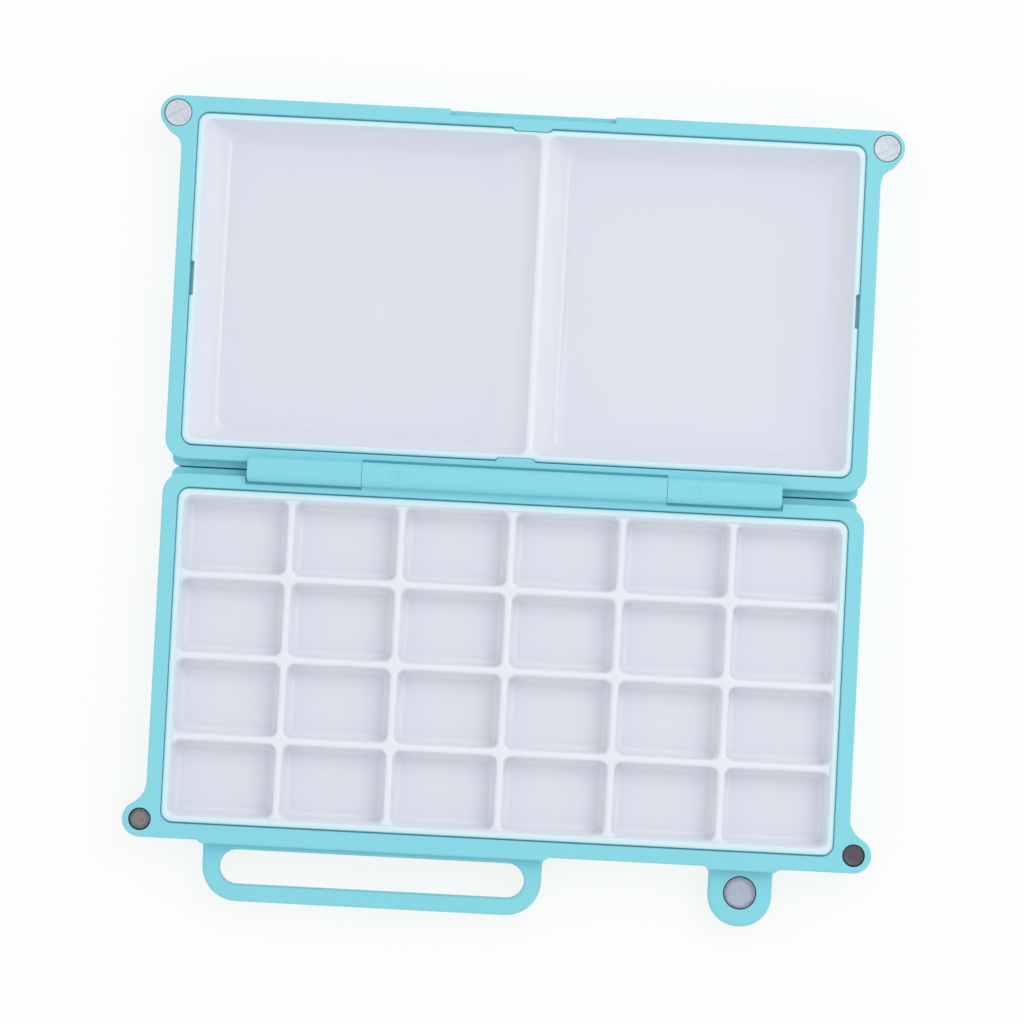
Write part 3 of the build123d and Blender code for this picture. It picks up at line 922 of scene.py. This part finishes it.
class RimPoint:
    """One point of the open edge, and where it lands on a larger loop."""

    def __init__(self, vert, half, corner):
        self.x, self.y = vert.co.x, vert.co.y
        dx, dy = abs(self.x) - (half[0] - corner), abs(self.y) - (half[1] - corner)
        self.turn = None
        self.across = 0 if half[0] - abs(self.x) < half[1] - abs(self.y) else 1
        if dx > WELD and dy > WELD:
            self.turn = Vector((math.copysign(dx, self.x), math.copysign(dy, self.y))).normalized()

    def on_loop(self, half, corner, inset):
        """The same place on a rounded rectangle. inset moves it inward where a side is notched."""
        if self.turn:
            x, y = math.copysign(half[0] - corner, self.x), math.copysign(half[1] - corner, self.y)
            return x + self.turn.x * corner, y + self.turn.y * corner
        if self.across == 0:
            return math.copysign(half[0] - inset, self.x), self.y
        return self.x, math.copysign(half[1] - inset, self.y)


def rim_stations(half, inner, inner_corner, top):
    """(half sizes, corner, z, whether on the wells' side) of each loop over the rim, outward."""
    arc = quarter_turn(RIM_STEPS)
    stations = []
    for cosine, sine in arc:
        grow = INNER_ROUND * (1 - cosine)
        z = top - INNER_ROUND * (1 - sine)
        stations.append(((inner[0] + grow, inner[1] + grow), inner_corner + grow, z, True))
    for cosine, sine in reversed(arc):
        shrink = OUTER_ROUND * (1 - cosine)
        z = top - OUTER_ROUND * (1 - sine)
        stations.append(((half[0] - shrink, half[1] - shrink), TRAY_CORNER - shrink, z, False))
    return stations


def add_rim(bm, half, inner, inner_corner, top, base, step_up, notches=()):
    """Grows the rim, the outer wall and the underside from the open edge round the wells.
    notches are (depth at a rim point, z of the notch's floor)."""
    loop = walk_boundary(bm)
    points = [RimPoint(v, inner, inner_corner) for v in loop]

    def notch(point, above):
        return sum(depth(point) for depth, floor_z in notches if above >= floor_z)

    def place(half_size, corner, z, above, squeeze):
        moved = [p.on_loop(half_size, corner, notch(p, above) * squeeze) for p in points]
        return [bm.verts.new((x, y, z)) for x, y in moved]

    loops = []
    for half_size, corner, z, inside in rim_stations(half, inner, inner_corner, top):
        if inside and not step_up:
            continue
        width = half[0] - inner[0]
        squeeze = 0 if inside else 1 - (half[0] - half_size[0]) / width
        loops.append(place(half_size, corner, z, top, squeeze))
    for _, floor_z in sorted(notches, key=lambda n: -n[1]):
        loops.append(place(half, TRAY_CORNER, floor_z, floor_z, 1))
        loops.append(place(half, TRAY_CORNER, floor_z, floor_z - WELD, 1))
    for cosine, sine in quarter_turn(RIM_STEPS):
        shrink, lift = TRAY_FOOT_ROUND * (1 - cosine), TRAY_FOOT_ROUND * (1 - sine)
        half_size = half[0] - shrink, half[1] - shrink
        loops.append(place(half_size, TRAY_CORNER - shrink, base + lift, base, 1))
    last = loop
    for here in loops:
        band(bm, here, last)
        last = here
    bm.faces.new(last)


# %% [markdown]
# ## Well tray
# The real tray is one moulding of glossy white plastic with six columns and four rows of wells. The
# ribs stop a little below the rim, and their tops are round. The CAD tray has plain chamfers there,
# so a finer mesh stands for it. All its sizes follow the CAD node's box and a few walls, as they
# would on the mould drawing. The section of a well is worked out first, from the middle of a rib
# down to the floor: a round over the rib, a straight wall that leans by the draft angle which lets
# the tray leave its mould, and a round into the floor.

# %% Section of a well
COLUMNS, ROWS = 6, 4
RIB = 1.3
RIB_DROP = 0.5
MOUTH_DROP = 0.25
RIB_ROUND = 0.6
DRAFT = math.radians(4)
FOOT_ROUND = 1.0
FLOOR_BORDER = 0.5
RIB_STEPS, FOOT_STEPS = 5, 7


def well_section(rib_top, floor_z):
    """(inset, z) pairs down the wall. The wall's inset is 0 at the height of the mouth."""
    mouth = rib_top - MOUTH_DROP

    def wall(z):
        return (mouth - z) * math.tan(DRAFT)

    over_z, under_z = rib_top - RIB_ROUND, floor_z + FOOT_ROUND
    over = wall(over_z + RIB_ROUND * math.sin(DRAFT)) - RIB_ROUND * math.cos(DRAFT)
    under = wall(under_z - FOOT_ROUND * math.sin(DRAFT)) + FOOT_ROUND * math.cos(DRAFT)
    section = []
    for step in range(RIB_STEPS + 1):
        angle = math.pi / 2 + (DRAFT - math.pi / 2) * step / RIB_STEPS
        section.append(round_point((over, over_z), RIB_ROUND, angle))
    for step in range(FOOT_STEPS + 1):
        angle = math.pi + DRAFT + (math.pi / 2 - DRAFT) * step / FOOT_STEPS
        section.append(round_point((under, under_z), FOOT_ROUND, angle))
    section.append((section[-1][0] + FLOOR_BORDER, floor_z))
    return section


for inset, z in well_section(rib_top=7.65, floor_z=1.2):
    print("inset", round(inset, 3), "z", round(z, 3))

# %% Well tray
SIDE_WALL, END_WALL = 1.35, 1.5
WELL_CORNER = 1.4
SMALLEST_CORNER = 0.25
RIM_GAP = 0.25
RIB_FLAT = 0.02
WELL_STEPS = (5, 4)


def well_rings(bm, box, at_edge, section, rib_top):
    """One well, from the middle of the ribs round it down to its floor."""
    margin = [RIM_GAP if edge else RIB / 2 for edge in at_edge]
    square = [not (at_edge[a] and at_edge[b]) for a, b in CORNER_SIDES]
    last = add_ring(bm, ring(box, WELL_CORNER, WELL_STEPS, margin, square), rib_top)
    for inset, z in section:
        right, top, left, bottom = (max(inset, RIB_FLAT - m) for m in margin)
        shrunk = (box[0] + left, box[1] - right, box[2] + bottom, box[3] - top)
        corner = max(WELL_CORNER - inset, SMALLEST_CORNER)
        here = add_ring(bm, ring(shrunk, corner, WELL_STEPS), z)
        band(bm, last, here)
        last = here
    bm.faces.new(last)


def make_well_tray():
    low, high = millimetres("well_tray")
    half = (high.x - low.x) / 2, (high.y - low.y) / 2
    inside = half[0] - SIDE_WALL, half[1] - END_WALL
    width, depth = (2 * inside[0] + RIB) / COLUMNS, (2 * inside[1] + RIB) / ROWS
    rib_top = high.z - RIB_DROP
    section = well_section(rib_top, low.z + WELL_FLOOR)
    bm = bmesh.new()
    for row in range(ROWS):
        for column in range(COLUMNS):
            x, y = column * width - inside[0], row * depth - inside[1]
            at_edge = (column == COLUMNS - 1, row == ROWS - 1, column == 0, row == 0)
            well_rings(bm, (x, x + width - RIB, y, y + depth - RIB), at_edge, section, rib_top)
    bmesh.ops.remove_doubles(bm, verts=bm.verts, dist=WELD)
    inner = inside[0] + RIM_GAP, inside[1] + RIM_GAP
    add_rim(bm, half, inner, WELL_CORNER + RIM_GAP, high.z, low.z, step_up=True)
    bmesh.ops.translate(bm, verts=bm.verts, vec=(0, (high.y + low.y) / 2, 0))
    finish_piece(bm, "moulded_well_tray", "well_tray", well_white)


make_well_tray()

# %% [markdown]
# ## Mixing tray
# The lid's tray has two wide wells with sloping sides, so that a brush can pull paint up the slope.
# The left side of each well is a straight slope with a crisp foot, and the other three curve gently
# into the floor. The ridge between the wells dips a little below the rim. A loft could make each
# well, but rings with their own inset on each side give the same form with a rounded crest and
# foot, and the two wells share the points along the ridge.

# %% Mixing well
MIXING_RIM = 1.1
RIDGE_X = 2.4
RIDGE_WIDTH = 1.2
LEFT_SLOPES = (4.8, 4.3)
RIGHT_SWEEPS = (7.2, 4.4)
FRONT_SWEEP, HINGE_SWEEP = 3.2, 2.6
SWEEP_TURN = math.radians(75)
CREST_HEIGHT = 0.45
CREST_MARGIN = 0.3
CREST_FLAT = 0.05
MIXING_CORNERS = (3.2, 1.6)
MIXING_STEPS = (12, 12)
CREST_STEPS, WALL_STEPS = 5, 14


def swept(height):
    """How far across its sweep a curved side is at a share of its height. The curve is an arc."""
    turned = math.acos(1 - height * (1 - math.cos(SWEEP_TURN)))
    return math.sin(turned) / math.sin(SWEEP_TURN)


def mixing_heights(depth):
    """(share of the well's height, share of the crest's round) down the wall of a mixing well."""
    crest = CREST_HEIGHT / depth
    heights = [(1 - crest * (1 - s), 1 - c) for c, s in reversed(quarter_turn(CREST_STEPS))]
    turned = math.acos(1 - heights[-1][0] * (1 - math.cos(SWEEP_TURN)))
    for step in range(WALL_STEPS - 1, -1, -1):
        heights.append(((1 - math.cos(turned * step / WALL_STEPS)) / (1 - math.cos(SWEEP_TURN)), 0))
    return heights


def mixing_rings(bm, box, left_slope, right_sweep, margin, top, floor_z):
    """One mixing well. margin lies between its mouth and the rim or the middle of the ridge."""
    foot_corner, mouth_corner = MIXING_CORNERS
    square = [not (margin[a] == margin[b]) for a, b in CORNER_SIDES]
    last = add_ring(bm, ring(box, mouth_corner, MIXING_STEPS, margin, square), top)
    for height, crest in mixing_heights(top - floor_z):
        z = floor_z + height * (top - floor_z)
        share = swept(height)
        slope = left_slope * (1 - height)
        to_go = 1 - share
        sweeps = right_sweep * to_go, FRONT_SWEEP * to_go, slope, HINGE_SWEEP * to_go
        right, front, left, hinge = (s - (m - CREST_FLAT) * crest for s, m in zip(sweeps, margin))
        corner = foot_corner + (mouth_corner - foot_corner) * share + CREST_MARGIN * crest
        shrunk = (box[0] + left, box[1] - right, box[2] + hinge, box[3] - front)
        here = add_ring(bm, ring(shrunk, corner, MIXING_STEPS), z)
        band(bm, last, here)
        last = here
    bm.faces.new(last)


print("rings in a mixing well:", len(mixing_heights(depth=6.75)) + 1)

# %% [markdown]
# The ridge dips where it leaves the rim. Each point near the ridge is lowered by an amount that
# fades with its distance from the ridge and with its depth, so that the crest keeps its round and
# the floor stays flat.

# %% Ridge and notches
RIDGE_DIP = 0.6
RIDGE_RAMP = 3.0
RIDGE_FADE = 5.0
PRY_LENGTH, PRY_DEPTH, PRY_HEIGHT = 6.5, 0.6, 2.5
BUMP_LENGTH, BUMP_SLANT, BUMP_DEPTH, BUMP_HEIGHT = 6.4, 0.48, 0.43, 1.15
NOTCH_END = 0.15


def ease(share):
    share = min(1, max(0, share))
    return share * share * (3 - 2 * share)


def lower_ridge(bm, reach, top, floor_z):
    for vert in bm.verts:
        along = ease((reach - abs(vert.co.y)) / RIDGE_RAMP)
        beside = ease(1 - (abs(vert.co.x - RIDGE_X) - RIDGE_WIDTH / 2) / RIDGE_FADE)
        height = (vert.co.z - floor_z) / (top - floor_z)
        vert.co.z -= RIDGE_DIP * along * beside * max(0, height) ** 2


def pry_notch(point):
    """Depth of the fingernail notch in the middle of each short side."""
    if point.across or point.turn:
        return 0
    return PRY_DEPTH * min(1, max(0, (PRY_LENGTH / 2 - abs(point.y)) / NOTCH_END))


def bump_notch(point):
    """Depth of the cut-out for the case's retaining bump in the middle of each long side."""
    if not point.across or point.turn:
        return 0
    return BUMP_DEPTH * min(1, max(0, 1 - (abs(point.x) - BUMP_LENGTH / 2) / BUMP_SLANT))


# %% Mixing tray
def make_mixing_tray():
    low, high = millimetres("mixing_tray")
    half = (high.x - low.x) / 2, (high.y - low.y) / 2
    mouth = half[0] - MIXING_RIM, half[1] - MIXING_RIM
    top, floor_z = high.z, low.z + MIXING_FLOOR
    edge, middle = CREST_MARGIN, RIDGE_WIDTH / 2
    bm = bmesh.new()
    sides = (-mouth[0], RIDGE_X - middle), (RIDGE_X + middle, mouth[0])
    margins = (middle, edge, edge, edge), (edge, edge, middle, edge)
    for (x0, x1), slope, sweep, margin in zip(sides, LEFT_SLOPES, RIGHT_SWEEPS, margins):
        mixing_rings(bm, (x0, x1, -mouth[1], mouth[1]), slope, sweep, margin, top, floor_z)
    bmesh.ops.remove_doubles(bm, verts=bm.verts, dist=WELD)
    lower_ridge(bm, mouth[1], top, floor_z)
    inner = mouth[0] + edge, mouth[1] + edge
    ends = PRY_LENGTH / 2
    split_side(bm, inner, 1, (-ends, NOTCH_END - ends, ends - NOTCH_END, ends))
    ends = BUMP_LENGTH / 2
    split_side(bm, inner, 0, (-ends - BUMP_SLANT, -ends, ends, ends + BUMP_SLANT))
    notches = ((pry_notch, top - PRY_HEIGHT), (bump_notch, top - BUMP_HEIGHT))
    add_rim(bm, half, inner, MIXING_CORNERS[1] + edge, top, low.z, step_up=False, notches=notches)
    bmesh.ops.translate(bm, verts=bm.verts, vec=(0, (high.y + low.y) / 2, 0))
    finish_piece(bm, "moulded_mixing_tray", "mixing_tray", mixing_white)


make_mixing_tray()

# %% [markdown]
# ## Magnets
# A plated disc magnet has a small round along its edges and a face that is dished by a hair. Both
# are turned from one profile, as on a lathe. A plain cylinder would catch light only on its flat
# face; the round gives each magnet the thin bright ring that tells it from a sticker.

# %% Turn a disc magnet
DISC_STEPS = 64
DISC_EDGE = 0.22
DISC_EDGE_STEPS = 4
DISC_DISH = 0.03
DISC_LIP = 0.55
DISC_RINGS = (0.3, 0.6)


def magnet_profile(radius, low, high):
    """(radius, z) pairs from the middle of the top face, over the edge, to the underside."""
    lip = radius - DISC_LIP
    profile = [(radius * share, high - DISC_DISH * (1 - share)) for share in DISC_RINGS]
    profile += [(lip, high - DISC_DISH / 2), (lip + DISC_DISH, high)]
    edge = [(DISC_EDGE * (1 - s), DISC_EDGE * (1 - c)) for c, s in quarter_turn(DISC_EDGE_STEPS)]
    profile += [(radius - inward, high - down) for inward, down in edge]
    profile += [(radius - inward, low + up) for inward, up in reversed(edge)]
    return profile


def turn_magnet(node, finish):
    low, high = millimetres(node)
    centre, half = (low + high) / 2, (high.x - low.x) / 2
    angles = [2 * math.pi * k / DISC_STEPS for k in range(DISC_STEPS)]
    bm = bmesh.new()
    last = None
    for radius, z in magnet_profile(half, low.z, high.z):
        here = add_ring(bm, [round_point(centre, radius, angle) for angle in angles], z)
        if last:
            band(bm, last, here)
        else:
            bm.faces.new(here)
        last = here
    bm.faces.new(last)
    material = metal("plated_" + node, centre=centre, radius=half, **finish)
    finish_piece(bm, "turned_" + node, node, material)


LID_DISC = {"bright": (0.66, 0.70, 0.75, 1), "dull": (0.56, 0.60, 0.66, 1), "roughness": 0.62}
CUP_DISC = {
    "bright": (0.47, 0.50, 0.61, 1), "dull": (0.37, 0.39, 0.50, 1), "roughness": 0.45,
    "rim": (0.20, 0.21, 0.27, 1),
}
# The base discs' dark colours are painted shade from their deep pockets. The stain is glue.
SHADED_BASE_DISC = {
    "bright": (0.34, 0.335, 0.33, 1), "dull": (0.20, 0.20, 0.20, 1), "roughness": 0.4,
    "stain": (0.23, 0.13, 0.115, 1), "rim": (0.10, 0.10, 0.10, 1),
}
# The right base disc is painted darker still.
DARKER_SHADED_BASE_DISC = SHADED_BASE_DISC | {
    "bright": (0.14, 0.135, 0.15, 1), "dull": (0.08, 0.075, 0.085, 1),
    "stain": (0.11, 0.07, 0.07, 1),
}
turn_magnet("lid_magnet_left", LID_DISC)
turn_magnet("lid_magnet_right", LID_DISC)
turn_magnet("cup_magnet", CUP_DISC)
turn_magnet("base_magnet_left", SHADED_BASE_DISC)
turn_magnet("base_magnet_right", DARKER_SHADED_BASE_DISC)
